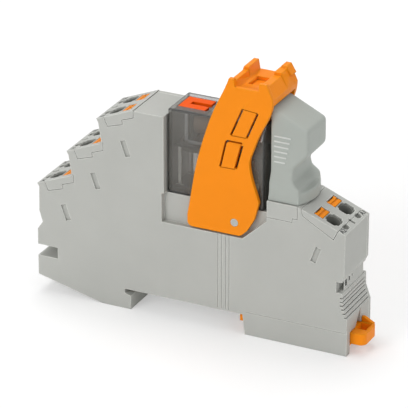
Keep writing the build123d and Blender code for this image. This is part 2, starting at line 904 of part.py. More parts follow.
base_top = deck_top + relay_base_thickness
base_gap = relay_wall + cover_clearance
base = block(
    relay_left + base_gap,
    relay_right - base_gap,
    -inside + cover_clearance,
    inside - cover_clearance,
    deck_top,
    base_top,
)
for x, y in pin_stations():
    base -= Pos(x, y, deck_top) * Box(pin_width, pin_thickness, 20)
frame_low = deck_top + frame_height - yoke_thickness - frame_thickness
post_half = inside - 0.35
post_right = relay_right - base_gap - relay_gap
base += block(post_right - post_thickness, post_right, -post_half, post_half, base_top, frame_low)
save(base, "relay_base")

# Test tab, a C shape lying in the top of the relay
tab = block(hinge[0], tab_right, -tab_half, tab_half, relay_top - tab_thickness, relay_top)
tab += along_y(*hinge, tab_thickness / 2, -tab_half, tab_half)
tab -= block(
    tab_right - tab_slot_length, tab_right + 1, -tab_slot_width / 2, tab_slot_width / 2,
    relay_top - 5, relay_top + 5,
)
tab_pin = tab_half + tab_clearance + tab_pin_length - tab_hinge_clearance
tab += along_y(*hinge, tab_pin_radius, -tab_pin, tab_pin)
save(tab, "test_tab")

# Inside the relay
yoke_top = deck_top + frame_height
coil_z = yoke_top + coil_rise
coil_start = relay_left + coil_left
coil_end = coil_start + coil_length


def along_x(x_low, x_high, z, radius):
    side = Plane(origin=(x_low, 0, z), x_dir=(0, 1, 0), z_dir=(1, 0, 0))
    return extrude(side * Circle(radius), amount=x_high - x_low)


sleeve = core_radius + sleeve_thickness
bobbin = along_x(coil_start, coil_end, coil_z, sleeve)
for x in (coil_start, coil_end - flange_thickness):
    bobbin += block(x, x + flange_thickness, -flange_half, flange_half, yoke_top, coil_z + flange_half)
bobbin -= along_x(coil_start - 1, coil_end + 1, coil_z, core_radius)
# The tray under the yoke, with two rails that guide the card.
tray_left = relay_left + relay_wall + tray_end_gap
bobbin_tray = block(tray_left, post_right, -post_half, post_half, frame_low, frame_low + frame_thickness)
card_high = frame_low - card_drop
card_low = card_high - card_thickness
for side in (-1, 1):
    ends = sorted((side * (card_half + card_play), side * (card_half + card_play + rail_thickness)))
    bobbin_tray += block(*card_rail, ends[0], ends[1], card_low - 0.3, frame_low)
armature_right = coil_start - core_tip - armature_gap
armature_left = armature_right - armature_thickness
armature_room = armature_half + 0.3
bobbin_tray -= block(
    armature_left - 0.5, armature_right + 0.4, -armature_room, armature_room, frame_low - 10, frame_low + 10
)
save(bobbin, "coil_bobbin")
save(bobbin_tray, "coil_tray")
winding = along_x(coil_start + flange_thickness, coil_end - flange_thickness, coil_z, coil_radius)
winding -= along_x(coil_start, coil_end, coil_z, sleeve)
save(winding, "coil_winding")
core = along_x(coil_start - core_tip, coil_end + yoke_thickness, coil_z, core_radius)
save(core, "coil_core")
yoke_half = yoke_width / 2
yoke_end = coil_end + yoke_thickness
yoke_low = yoke_top - yoke_thickness
yoke = block(coil_start - yoke_reach, yoke_end, -yoke_half, yoke_half, yoke_low, yoke_top)
yoke += block(coil_end, yoke_end, -yoke_half, yoke_half, yoke_top, coil_z + coil_radius)
yoke -= along_x(coil_end - 1, coil_end + 5, coil_z, core_radius)
save(yoke, "magnet_yoke")
# The armature rocks on a round bead beside the end of the yoke.
bead_place = ((armature_left + armature_right) / 2, yoke_top - yoke_thickness / 2)
armature_top = coil_z + coil_radius - 0.2
armature = block(armature_left, armature_right, -armature_half, armature_half, bead_place[1], armature_top)
armature += block(armature_left, armature_right, -armature_leg, armature_leg, card_low + 0.3, yoke_top)
armature += along_y(*bead_place, armature_bead, -armature_half, armature_half)
save(armature, "armature")

# Contacts. The card draws the moving blade towards the coil pins when the armature closes.
moving_x = relay_left + pin_places[2]
blade_side = blade_thickness / 2
stack = blade_thickness + 2 * contact_button_height
closed_x = moving_x + stack
open_x = moving_x - stack - contact_gap
blade_top = card_low - 0.3
button_z = blade_top - contact_button - 0.5
moving = block(moving_x - blade_side, moving_x + blade_side, -blade_half, blade_half, base_top, blade_top)
moving -= block(moving_x - 1, moving_x + 1, -0.5, 0.5, base_top + 1.5, button_z - 2)
moving += block(
    moving_x - blade_side, moving_x + blade_side, -blade_neck, blade_neck, blade_top - 0.2, card_high + 0.5
)
button_spots = (-contact_button_offset, contact_button_offset)
for y in button_spots:
    button = along_x(moving_x - stack / 2, moving_x + stack / 2, button_z, contact_button)
    moving += button.moved(Location((0, y, 0)))
save(moving, "moving_contacts")


def fixed_contact(pin_x, blade_x, button_side):
    # A blade that stands on its own pins and leans over to the moving one.
    lean = [(pin_x, base_top), (pin_x, base_top + 2.0), (blade_x, base_top + 4.5), (blade_x, blade_top)]
    blade = prism(bent_strip(lean, blade_thickness), -blade_half, blade_half)
    button_length = blade_side + contact_button_height
    start = blade_x if button_side > 0 else blade_x - button_length
    for y in button_spots:
        button = along_x(start, start + button_length, button_z, contact_button)
        blade += button.moved(Location((0, y, 0)))
    return blade


contacts = [
    fixed_contact(relay_left + pin_places[3], closed_x, -1),
    fixed_contact(relay_left + pin_places[1], open_x, 1),
]
save(Compound(children=contacts), "fixed_contacts")
card = block(armature_left - card_end, moving_x + 2 * card_end, -card_half, card_half, card_low, card_high)
leg_room = armature_leg + card_play
card -= block(
    armature_left - card_play, armature_right + card_play, -leg_room, leg_room, card_low - 1, card_high + 1
)
neck_room = blade_neck + card_play
card -= block(
    moving_x - card_blade_room[0], moving_x + card_blade_room[1], -neck_room, neck_room,
    card_low - 1, card_high + 1,
)
save(card, "contact_card")

pins = []
for x, y in pin_stations():
    tall = base_top - deck_top + pin_length
    pin = Pos(x, y, base_top - tall / 2) * Box(pin_width, pin_thickness, tall)
    tip = pin.edges().group_by(Axis.Z)[0].filter_by(Axis.Y)
    pins.append(chamfer(tip, 0.4))
for side in (-1, 1):
    # The coil pins run on up to the tray.
    x = relay_left + pin_places[0]
    low = side * pin_offset - pin_thickness / 2
    pins.append(block(x - 0.4, x + 0.4, low, low + pin_thickness, base_top, frame_low))
save(Compound(children=pins), "relay_pins")

# Plug-in module: a hollow head on a waisted foot.
plug_low = ledge_top + plug_lift
plug_head_corner = (plug_front_edge[0], plug_head_bottom)
plug_profile = [
    (plug_left, plug_low),
    (plug_left, plug_back_edge),
    plug_front_edge,
    plug_head_corner,
    plug_waist,
    plug_waist_foot,
    plug_foot_edge,
    (plug_base_right, plug_low),
]
side_view = outline(plug_profile)
side_view = soften(side_view, [plug_front_edge, plug_head_corner], plug_corner)
side_view = soften(side_view, [plug_waist], plug_waist_round)
side_view = soften(side_view, [plug_waist_foot], plug_waist_round / 2)
base_half = plug_base_width / 2
head_half = plug_head_width / 2
head = prism(side_view, -head_half, head_half)
head_edges = [
    e for e in head.edges()
    if abs(abs(e.center().Y) - head_half) < 0.01
    and e.center().Z > plug_head_bottom - 0.5
    and e.center().X > plug_left + 0.5
]
head = fillet(head_edges, plug_round)
end_view = [
    (-base_half, ledge_top),
    (-base_half, plug_base_top),
    (-head_half, plug_shoulder),
    (head_half, plug_shoulder),
    (base_half, plug_base_top),
    (base_half, ledge_top),
]
end_plane = Plane(origin=(plug_left - 5, 0, 0), x_dir=(0, 1, 0), z_dir=(1, 0, 0))
plug = head + (prism(side_view, -half_width, half_width) & extrude(end_plane * outline(end_view), amount=30))
bulge_near = (plug_base_right - 0.3, -base_half)
bulge_far = (plug_base_right - 0.3, base_half)
bulge_rim = ThreePointArc(bulge_near, (plug_base_right + plug_bulge, 0), bulge_far)
bulge = make_face(bulge_rim.edges() + Line(bulge_far, bulge_near).edges())
plug += extrude(Plane(origin=(0, 0, plug_low)) * bulge, amount=plug_bulge_height)
for k in range(rib_count):
    z = rib_first - k * rib_pitch
    end = rib_ends[0] + (rib_ends[1] - rib_ends[0]) * k / (rib_count - 1)
    for side in (-1, 1):
        ends = sorted((side * (head_half - 0.2), side * (head_half + rib_proud)))
        plug += block(rib_start, end, ends[0], ends[1], z - rib_height / 2, z + rib_height / 2)
plug_room = offset(outline(plug_profile), amount=-plug_wall, kind=Kind.INTERSECTION)
plug_inside = head_half - plug_wall
plug -= prism(plug_room, -plug_inside, plug_inside)
carrier_top = plug_low + carrier_height
carrier_left = plug_left + plug_wall + cover_clearance / 2
carrier_right = plug_base_right - 1.6
plug -= block(
    carrier_left - cover_clearance / 2, carrier_right + cover_clearance / 2, -plug_inside, plug_inside,
    plug_low - 5, carrier_top + 0.5,
)
save(plug, "plug_in_housing")
carrier_half = plug_inside - cover_clearance / 2
carrier = block(carrier_left, carrier_right, -carrier_half, carrier_half, plug_low, carrier_top)
for x, y in plug_pin_spots():
    carrier -= Pos(x, y, plug_low) * Box(plug_pin_size[0], plug_pin_size[1], 20)
save(carrier, "plug_in_base")
plug_pins = []
for x, y in plug_pin_spots():
    # The pair over the coil bars reaches down to them.
    foot = plug_contact_top if x == plug_contact else ledge_top - plug_pin_length
    top = ledge_top + plug_pin_top
    plug_pins.append(Pos(x, y, (foot + top) / 2) * Box(plug_pin_size[0], plug_pin_size[1], top - foot))
save(Compound(children=plug_pins), "plug_in_pins")
led_x = plug_left + led_place
slope_fall = (plug_back_edge - plug_front_edge[1]) / (plug_front_edge[0] - plug_left)
led_foot = plug_back_edge - slope_fall * (led_place + led_flange[0]) - plug_wall - board_room
board_left = plug_left + board_span[0]
board_right = plug_left + board_span[1]
board = block(board_left, board_right, -board_half, board_half, carrier_top, led_foot)
save(board, "plug_in_board")
led = extrude(Plane(origin=(led_x, 0, led_foot)) * Circle(led_flange[0]), amount=led_flange[1])
led += extrude(Plane(origin=(led_x, 0, led_foot)) * Circle(led_radius), amount=led_height)
save(led, "indicator_led")
diode_spot = (plug_left + diode_place[0], diode_place[1], carrier_top + diode_height)
diode = extrude(Plane(origin=diode_spot) * Circle(diode_radius), amount=diode_length)
save(diode, "suppressor_diode")

# Foot latch, sliding out along X to let go of the rail
latch_low = latch_side
latch_high = latch_side + latch_width
latch_profile = [
    (latch_nose, latch_nose_bottom),
    (latch_nose, latch_nose_top),
    (latch_nose_root - 0.6, latch_nose_top),
    (latch_nose_root, latch_top),
    (leg_end, latch_top),
    (leg_end, latch_bar_bottom),
    (latch_nose_root, latch_bar_bottom),
    (latch_nose_root - 0.4, latch_nose_bottom),
]
latch = prism(latch_profile, latch_low, latch_high)
tongue = block(leg_end - 1.0, latch_reach, latch_low, latch_high, latch_bottom, latch_top)
tongue = fillet(tongue.edges().filter_by(Axis.Z).group_by(Axis.X)[-1], latch_corner)
latch += tongue
fin_left = leg_end + 0.1
fin = [(fin_left, 0), (latch_fin_foot, 0), (latch_fin_foot, latch_top), (latch_fin_crest, latch_fin)]
fin.append((fin_left, latch_fin))
latch += prism(fin, latch_high - latch_fin_width, latch_high)
latch += block(
    latch_nose_root + side_wall, leg_end - side_wall - latch_travel - 0.2,
    latch_low - latch_flange + latch_clearance, latch_high + latch_flange - latch_clearance,
    latch_flange_bottom, latch_flange_top,
)
latch -= Pos(latch_eye_place[0], latch_eye_place[1], 0) * Box(latch_eye[0], latch_eye[1], 20)
save(latch, "foot_latch")
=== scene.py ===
import json
import math

import bpy
from mathutils import Matrix, Vector


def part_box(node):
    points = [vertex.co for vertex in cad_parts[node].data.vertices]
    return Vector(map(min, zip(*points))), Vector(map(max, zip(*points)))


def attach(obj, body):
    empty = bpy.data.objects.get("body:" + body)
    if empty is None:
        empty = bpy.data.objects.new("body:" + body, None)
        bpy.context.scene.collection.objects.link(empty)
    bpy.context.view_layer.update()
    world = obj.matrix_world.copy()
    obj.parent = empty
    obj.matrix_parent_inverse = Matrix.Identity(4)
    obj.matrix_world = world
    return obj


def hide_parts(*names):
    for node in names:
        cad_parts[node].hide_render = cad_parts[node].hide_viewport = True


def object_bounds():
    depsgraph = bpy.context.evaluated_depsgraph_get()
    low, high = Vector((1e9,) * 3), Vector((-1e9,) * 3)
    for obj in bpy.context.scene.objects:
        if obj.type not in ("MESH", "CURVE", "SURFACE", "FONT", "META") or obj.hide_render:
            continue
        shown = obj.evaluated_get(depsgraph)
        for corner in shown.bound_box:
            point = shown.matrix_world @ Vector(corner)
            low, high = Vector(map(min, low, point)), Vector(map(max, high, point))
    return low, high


mm = 0.001
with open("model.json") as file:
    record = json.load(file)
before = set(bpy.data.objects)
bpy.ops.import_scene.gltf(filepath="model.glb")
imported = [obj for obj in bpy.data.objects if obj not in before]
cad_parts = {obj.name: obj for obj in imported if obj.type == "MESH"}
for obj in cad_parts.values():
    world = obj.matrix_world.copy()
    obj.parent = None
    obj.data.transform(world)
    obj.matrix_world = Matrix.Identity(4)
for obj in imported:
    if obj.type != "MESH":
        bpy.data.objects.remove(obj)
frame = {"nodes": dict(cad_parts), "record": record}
nodes = frame["nodes"]
cadLow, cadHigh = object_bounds()
slotOf = {part["node"]: part["material_slot"] for part in frame["record"]["subparts"]}
print("frame loaded:", len(nodes), "nodes")


class Wire:
    # A node's output, which Python's own sums work on.
    def __init__(self, work, socket):
        self.work = work
        self.socket = socket

    def joined(self, operation, first, second):
        return self.work.node("ShaderNodeMath", {"operation": operation}, {0: first, 1: second})

    def __add__(self, other):
        return self.joined("ADD", self, other)

    def __radd__(self, other):
        return self.joined("ADD", other, self)

    def __sub__(self, other):
        return self.joined("SUBTRACT", self, other)

    def __rsub__(self, other):
        return self.joined("SUBTRACT", other, self)

    def __mul__(self, other):
        return self.joined("MULTIPLY", self, other)

    def __rmul__(self, other):
        return self.joined("MULTIPLY", other, self)


class NodeWork:
    # A node tree in the making. Every node comes from node(), and sums are plain Python.
    def __init__(self, tree):
        self.tree = tree
        self.tree.nodes.clear()

    def node(self, kind, settings=None, inputs=None, output=0):
        made = self.tree.nodes.new(kind)
        for key, value in (settings or {}).items():
            setattr(made, key, value)
        for key, value in (inputs or {}).items():
            if isinstance(value, Wire):
                self.tree.links.new(value.socket, made.inputs[key])
            else:
                made.inputs[key].default_value = value
        return Wire(self, made.outputs[output]) if made.outputs else made

    def place(self):
        return self.node("ShaderNodeTexCoord", output="Object")

    def noise(self, scale, detail=2.0, roughness=0.5, vector=None):
        inputs = {"Vector": vector or self.place(), "Scale": scale, "Detail": detail, "Roughness": roughness}
        return self.node("ShaderNodeTexNoise", None, inputs, "Fac")

    def spread(self, value, low, high, toLow=0.0, toHigh=1.0):
        inputs = {"Value": value, "From Min": low, "From Max": high, "To Min": toLow, "To Max": toHigh}
        return self.node("ShaderNodeMapRange", None, inputs)

    def blend(self, factor, first, second):
        return self.node("ShaderNodeMix", {"data_type": "RGBA"}, {0: factor, 6: first, 7: second}, 2)

    def stretched(self, factors):
        return self.node("ShaderNodeVectorMath", {"operation": "MULTIPLY"}, {0: self.place(), 1: factors})

    def axis(self, name):
        return self.node("ShaderNodeSeparateXYZ", None, {"Vector": self.place()}, name)

    def rounded(self, radius):
        return self.node("ShaderNodeBevel", {"samples": 6}, {"Radius": radius})

    def openness(self, reach):
        # One on open faces and towards zero in corners, slots and seams.
        inputs = {"Distance": reach}
        return self.node("ShaderNodeAmbientOcclusion", {"samples": 8}, inputs, "AO")

    def edgeMask(self, normal):
        # Near zero on flat faces and up to one on an edge.
        flat = self.node("ShaderNodeNewGeometry", output="Normal")
        pair = {0: normal, 1: flat}
        agreement = self.node("ShaderNodeVectorMath", {"operation": "DOT_PRODUCT"}, pair, "Value")
        return self.spread(agreement, 0.998, 0.93)

    def bump(self, height, strength, distance, normal=None):
        inputs = {"Height": height, "Strength": strength, "Distance": distance}
        if normal is not None:
            inputs["Normal"] = normal
        return self.node("ShaderNodeBump", None, inputs)

    def finished(self, shader):
        self.node("ShaderNodeOutputMaterial", None, {"Surface": shader})


def newFinish(name):
    material = bpy.data.materials.new(name)
    material.use_nodes = True
    return material, NodeWork(material.node_tree)


def colour(red, green, blue):
    # A screen colour from 0 to 255, turned into the linear values that Blender uses.
    parts = [value / 255 for value in (red, green, blue)]
    linear = [value / 12.92 if value <= 0.04045 else ((value + 0.055) / 1.055) ** 2.4 for value in parts]
    return (*linear, 1.0)


def toned(base, factor):
    return (*[min(1.0, value * factor) for value in base[:3]], 1.0)


def mouldedPlastic(look):
    # Injection-moulded plastic: fine spark-eroded grain, faint flow marks, softened edges with a painted
    # highlight along them, and painted shade in corners, slots and seams.
    material, work = newFinish(look["name"])
    base = colour(*look["base"])
    normal = work.rounded(look["edge"] * mm)
    flow = work.spread(work.noise(55, 4.0, 0.55), 0.35, 0.65)
    tone = work.blend(flow, toned(base, 0.975), toned(base, 1.02))
    specks = work.spread(work.noise(2600, 1.0), 0.3, 0.7, 0.0, 0.05)
    tone = work.blend(specks, tone, toned(base, 0.8))
    # Painted highlight: near an edge the colour is blended towards a lighter copy of the base.
    tone = work.blend(work.edgeMask(normal) * look.get("edgeHighlight", 0.5), tone, toned(base, 1.6))
    # Painted shade: where the occlusion test finds corners, slots and seams, the colour is blended towards a
    # darker copy of the base.
    shade = work.spread(work.openness(0.9 * mm), 0.1, 0.8, look.get("grime", 0.55), 0.0)
    tone = work.blend(shade, tone, toned(base, 0.35))
    rough = work.spread(work.noise(420, 3.0), 0.3, 0.7, look["rough"] - 0.05, look["rough"] + 0.06)
    shader = work.node("ShaderNodeBsdfPrincipled", None, {
        "Base Color": tone,
        "Roughness": rough,
        "Normal": work.bump(work.noise(5200, 3.0, 0.6), 0.2, 0.02 * mm, normal),
        "Specular IOR Level": look.get("shine", 0.2),
    })
    work.finished(shader)
    return material


def smokedCover(look):
    # Clear grey plastic: the room behind it shows through, a little dulled, and more so at a slant.
    material, work = newFinish(look["name"])
    normal = work.rounded(look["edge"] * mm)
    haze = work.spread(work.noise(90, 3.0), 0.35, 0.65)
    slant = work.node("ShaderNodeLayerWeight", None, {"Blend": 0.3}, "Facing")
    low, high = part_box("relay_cover")
    near = []
    for index, name in enumerate("XYZ"):
        half = (high[index] - low[index]) / 2
        offCentre = work.axis(name) - (low[index] + half)
        away = work.node("ShaderNodeMath", {"operation": "ABSOLUTE"}, {0: offCentre})
        near.append(work.spread(away, half - look["rimWidth"] * mm, half - look["rimWidth"] * 0.4 * mm))
    # Painted shade: a dark, more opaque line along the cover's edges, where the wall is seen edge-on.
    rim = work.spread(near[0] * near[1] + near[1] * near[2] + near[2] * near[0], 0.0, 1.0)
    alpha = haze * 0.04 + slant * look["slantAlpha"] + rim * look["rimAlpha"] + look["alpha"]
    tone = work.blend(haze, colour(*look["base"]), colour(*look["haze"]))
    tone = work.blend(rim, tone, colour(*look["rim"]))
    shader = work.node("ShaderNodeBsdfPrincipled", None, {
        "Base Color": tone,
        "Roughness": work.spread(work.noise(300, 2.0), 0.3, 0.7, 0.08, 0.16),
        "Alpha": alpha,
        "Normal": normal,
        "IOR": 1.5,
    })
    work.finished(shader)
    return material


def windingWire(look):
    # Enamelled wire wound side by side along the coil.
    material, work = newFinish(look["name"])
    pitch = look["pitch"] * mm
    turns = work.node("ShaderNodeMath", {"operation": "PINGPONG"}, {0: work.axis("X"), 1: pitch})
    ridge = work.spread(turns, 0.0, pitch)
    wander = work.noise(300, 2.0)
    # Painted highlight on the tops of the turns and painted shade in the grooves between them; the same
    # ridges also drive the bump.
    tone = work.blend(ridge, colour(*look["valleyShade"]), colour(*look["ridge"]))
    tone = work.blend(work.spread(wander, 0.3, 0.7, 0.0, 0.4), tone, colour(*look["stain"]))
    shader = work.node("ShaderNodeBsdfPrincipled", None, {
        "Base Color": tone,
        "Roughness": work.spread(wander, 0.3, 0.7, 0.25, 0.4),
        "Metallic": 0.5,
        "Normal": work.bump(ridge, 0.8, 0.04 * mm),
    })
    work.finished(shader)
    return material


def sheetMetal(look):
    # Stamped strip: fine rolling lines, a little tarnish and bright sheared edges.
    material, work = newFinish(look["name"])
    base = colour(*look["base"])
    normal = work.rounded(0.06 * mm)
    lines = work.noise(3800, 2.0, 0.6, work.stretched((1.0, 1.0, 0.06)))
    stain = work.spread(work.noise(240, 4.0), 0.45, 0.75, 0.0, look["tarnish"])
    tone = work.blend(stain, base, toned(base, 0.6))
    tone = work.blend(work.edgeMask(normal) * 0.5, tone, toned(base, 1.3))
    shader = work.node("ShaderNodeBsdfPrincipled", None, {
        "Base Color": tone,
        "Roughness": work.spread(lines, 0.3, 0.7, look["rough"] - 0.06, look["rough"] + 0.1),
        "Metallic": look.get("metallic", 1.0),
        "Normal": work.bump(lines, 0.3, 0.01 * mm, normal),
    })
    work.finished(shader)
    return material


def printedInk(look):
    # Pad-printed ink, a little thin in places.
    material, work = newFinish(look["name"])
    base = colour(*look["base"])
    thin = work.spread(work.noise(2500, 3.0), 0.35, 0.6)
    tone = work.blend(thin, toned(base, 1.35), base)
    work.finished(work.node("ShaderNodeBsdfPrincipled", None, {"Base Color": tone, "Roughness": 0.55}))
    return material


def varnishedBoard(look):
    # Green varnish over faint tracks.
    material, work = newFinish(look["name"])
    tracks = work.node("ShaderNodeTexBrick", None, {
        "Vector": work.place(), "Scale": 700.0, "Mortar Size": 0.03,
    }, "Fac")
    shader = work.node("ShaderNodeBsdfPrincipled", None, {
        "Base Color": work.blend(tracks, colour(*look["base"]), colour(*look["track"])),
        "Roughness": work.spread(work.noise(800, 2.0), 0.3, 0.7, 0.2, 0.35),
        "Normal": work.bump(tracks, 0.3, 0.02 * mm),
    })
    work.finished(shader)
    return material


def lampPlastic(look):
    # Tinted clear plastic with a faint cloud in it.
    material, work = newFinish(look["name"])
    cloud = work.spread(work.noise(700, 2.0), 0.3, 0.7)
    shader = work.node("ShaderNodeBsdfPrincipled", None, {
        "Base Color": work.blend(cloud, colour(*look["base"]), colour(*look["cloud"])),
        "Roughness": 0.15,
        "Transmission Weight": 0.4,
    })
    work.finished(shader)
    return material


makers = {
    "plastic": mouldedPlastic, "smoked": smokedCover, "winding": windingWire, "metal": sheetMetal,
    "board": varnishedBoard, "lamp": lampPlastic,
}
looks = {
    "grey_housing": ("plastic", {
        "name": "GreyHousing", "base": (182, 183, 178), "rough": 0.55, "edge": 0.4, "edgeHighlight": 0.9,
    }),
    "grey_plug": ("plastic", {
        "name": "GreyPlugIn", "base": (170, 175, 169), "rough": 0.5, "edge": 0.25, "edgeHighlight": 0.9, "grime": 0.3,
    }),
    # Same plastic as the plug-in in a lighter copy: a painted highlight on the ribs.
    "rib_grey": ("plastic", {
        "name": "RibGreyPaintedHighlight", "base": (206, 209, 205), "rough": 0.5, "edge": 0.1, "grime": 0.0,
    }),
    "dark_entry": ("plastic", {"name": "DarkEntry", "base": (116, 117, 112), "rough": 0.5, "edge": 0.15}),
    "orange_plastic": ("plastic", {
        "name": "WarmOrange", "base": (247, 141, 12), "rough": 0.45, "edge": 0.45, "edgeHighlight": 0.4, "shine": 0.15,
    }),
    "red_orange_plastic": ("plastic", {
        "name": "RedOrange", "base": (245, 92, 8), "rough": 0.4, "edge": 0.15, "edgeHighlight": 0.3, "shine": 0.05,
    }),
    "smoked_cover": ("smoked", {
        "name": "SmokedCover", "base": (122, 120, 114), "haze": (132, 130, 124), "rim": (44, 44, 42),
        "edge": 0.4, "alpha": 0.3, "slantAlpha": 0.3, "rimAlpha": 0.5, "rimWidth": 0.7,
    }),
    "relay_black": ("plastic", {
        "name": "RelayFrame", "base": (66, 65, 62), "rough": 0.5, "edge": 0.1, "edgeHighlight": 0.1,
    }),
    "card_plastic": ("plastic", {
        "name": "CardPlastic", "base": (104, 101, 94), "rough": 0.5, "edge": 0.1, "edgeHighlight": 0.1,
    }),
    "copper_bar": ("metal", {"name": "CopperBar", "base": (214, 160, 112), "rough": 0.3, "tarnish": 0.36}),
    "copper_wire": ("winding", {
        "name": "EnamelledWire", "pitch": 0.12, "valleyShade": (96, 80, 68), "ridge": (178, 154, 132),
        "stain": (140, 118, 98),
    }),
    "spring_steel": ("metal", {
        "name": "SpringSteel", "base": (200, 200, 196), "rough": 0.25, "tarnish": 0.3,
    }),
    "core_iron": ("metal", {"name": "PlatedIron", "base": (190, 192, 194), "rough": 0.34, "tarnish": 0.3}),
    "contact_metal": ("metal", {
        "name": "ContactBlade", "base": (240, 226, 196), "rough": 0.28, "tarnish": 0.3,
    }),
    "tinned_pin": ("metal", {"name": "TinnedPin", "base": (222, 222, 216), "rough": 0.3, "tarnish": 0.2}),
    "board_green": ("board", {"name": "VarnishedBoard", "base": (22, 84, 46), "track": (44, 122, 66)}),
    "led_body": ("lamp", {"name": "LampPlastic", "base": (96, 190, 84), "cloud": (128, 214, 110)}),
    "diode_black": ("plastic", {"name": "DiodeBody", "base": (40, 40, 42), "rough": 0.35, "edge": 0.05}),
}
finishes = {slot: makers[kind](look) for slot, (kind, look) in looks.items()}
for name, node in nodes.items():
    node.data.materials.clear()
    node.data.materials.append(finishes[slotOf[name]])
print("finishes made:", len(finishes))


def clearSelection():
    bpy.ops.object.select_all(action="DESELECT")


def settle(piece, details):
    # The piece's place goes into its mesh, and the object stays at the origin.
    clearSelection()
    piece.select_set(True)
    bpy.context.view_layer.objects.active = piece
    bpy.ops.object.transform_apply(location=True, rotation=True, scale=True)
    piece.name = details["name"]
    piece.data.materials.clear()
    piece.data.materials.append(details["material"])
    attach(piece, details["body"])
    return piece


def nodeCopy(node, name):
    # A merged copy of a CAD node, to be shaped further.
    clearSelection()
    piece = bpy.data.objects.new(name, nodes[node].data.copy())
    bpy.context.scene.collection.objects.link(piece)
    piece.select_set(True)
    bpy.context.view_layer.objects.active = piece
    bpy.ops.object.mode_set(mode="EDIT")
    bpy.ops.mesh.select_all(action="SELECT")
    bpy.ops.mesh.remove_doubles(threshold=0.001 * mm)
    bpy.ops.object.mode_set(mode="OBJECT")
    return piece


def applied(piece, kind, settings):
    # One modifier, added, set and applied.
    clearSelection()
    piece.select_set(True)
    bpy.context.view_layer.objects.active = piece
    bpy.ops.object.modifier_add(type=kind)
    modifier = piece.modifiers[-1]
    for key, value in settings.items():
        setattr(modifier, key, value)
    bpy.ops.object.modifier_apply(modifier=modifier.name)


def faceMatrix(origin, rightward, outward):
    # A frame on a face: x along the reading direction and z out of the face.
    x = Vector(rightward).normalized()
    z = Vector(outward).normalized()
    turn = Matrix((x, z.cross(x), z)).transposed().to_4x4()
    return Matrix.Translation(origin) @ turn


def printMark(details):
    # A printed mark: text laid on a face and turned into a mesh.
    clearSelection()
    bpy.ops.object.text_add(location=(0, 0, 0))
    piece = bpy.context.active_object
    piece.data.body = details["text"]
    piece.data.size = details["height"] * mm
    piece.data.extrude = 0.02 * mm
    piece.data.space_character = details["spacing"]
    piece.data.offset = details["bold"] * mm
    piece.data.align_x = "CENTER"
    piece.data.align_y = "CENTER"
    piece.matrix_world = details["place"]
    bpy.ops.object.convert(target="MESH")
    return settle(bpy.context.active_object, details)


# The sloping faces of the terminals: each one's nose edge, its length and rise, and where its marks go, in mm
tiers = {
    "count": 3, "nose": (-44.7, 27.0), "pitch": (9.4, 11.55), "run": 11.0, "rise": 4.5,
    "markAlong": 1.4, "markHeight": 1.9,
}
coilFace = {"nose": (49.1, 30.2), "run": -14.0, "rise": 5.6, "markAlong": 1.35, "markHeight": 2.1}
sideFace = 8.0  # from the middle of the module to either side
testPlace = 1.75  # from a nose to the middle of its test openings


def slopeOf(details, nose):
    # A face with the way that it climbs, and the way out of it.
    lean = math.atan2(details["rise"], abs(details["run"]))
    climb = Vector((math.copysign(math.cos(lean), details["run"]), 0, math.sin(lean)))
    outward = Vector((-climb.z, 0, climb.x)) if climb.x > 0 else Vector((climb.z, 0, -climb.x))
    return dict(details, nose=nose, climb=climb, outward=outward)


slopes = {}
for step in range(tiers["count"]):
    nose = [tiers["nose"][index] + step * tiers["pitch"][index] for index in (0, 1)]
    slopes[f"tier{step + 1}"] = slopeOf(tiers, nose)
slopes["coil"] = slopeOf(coilFace, coilFace["nose"])


def facePoint(slope, along, side):
    # A point on a sloping face: its distance from the nose and from the middle, in mm.
    return (Vector((slope["nose"][0], side, slope["nose"][1])) + slope["climb"] * along) * mm


def openingCutter(details):
    # A block with cut corners, as deep below the face as it stands above it.
    clearSelection()
    bpy.ops.mesh.primitive_cube_add(size=1.0, location=(0, 0, 0))
    piece = bpy.context.active_object
    piece.name = details["name"]
    piece.scale = [value * mm for value in (*details["size"], 2 * details["depth"])]
    bpy.ops.object.transform_apply(scale=True)
    points = piece.data.vertices
    for edge in piece.data.edges:
        low, high = (points[index].co for index in edge.vertices)
        edge.select = abs(low.z - high.z) > 0.1 * mm
    bpy.ops.object.mode_set(mode="EDIT")
    bpy.ops.mesh.select_mode(type="EDGE")
    bpy.ops.mesh.bevel(offset=details["corner"] * mm, segments=1, affect="EDGES")
    bpy.ops.object.mode_set(mode="OBJECT")
    return piece


def cutOpenings(piece, openings):
    # Blocks at all their places are joined, and cut from the piece together.
    cutters = []
    for opening in openings:
        pattern = openingCutter(opening)
        for place in opening["places"]:
            cutter = pattern.copy()
            cutter.data = pattern.data.copy()
            bpy.context.scene.collection.objects.link(cutter)
            cutter.matrix_world = place
            cutters.append(cutter)
        bpy.data.objects.remove(pattern)
    clearSelection()
    for cutter in cutters:
        cutter.select_set(True)
    bpy.context.view_layer.objects.active = cutters[0]
    bpy.ops.object.join()
    joined = bpy.context.active_object
    applied(piece, "BOOLEAN", {"operation": "DIFFERENCE", "solver": "EXACT", "object": joined})
    bpy.data.objects.remove(joined)


def nosePlaces(along, sides):
    return [
        faceMatrix(facePoint(slope, along, side), slope["climb"], slope["outward"])
        for slope in slopes.values() for side in sides
    ]


def gripPlaces(grip):
    # The grip's grooves, down the end wall and the leg's lean.
    places = []
    for step in range(grip["count"]):
        level = grip["top"] - grip["pitch"] * step
        lean = max(0.0, (grip["leansBelow"] - level) / grip["leanHeight"])
        middle = Vector((grip["wall"] + grip["leanReach"] * lean, 0, level + grip["lift"])) * mm
        places.append(faceMatrix(middle, (0, 0, 1), (1, 0, 0)))
    return places


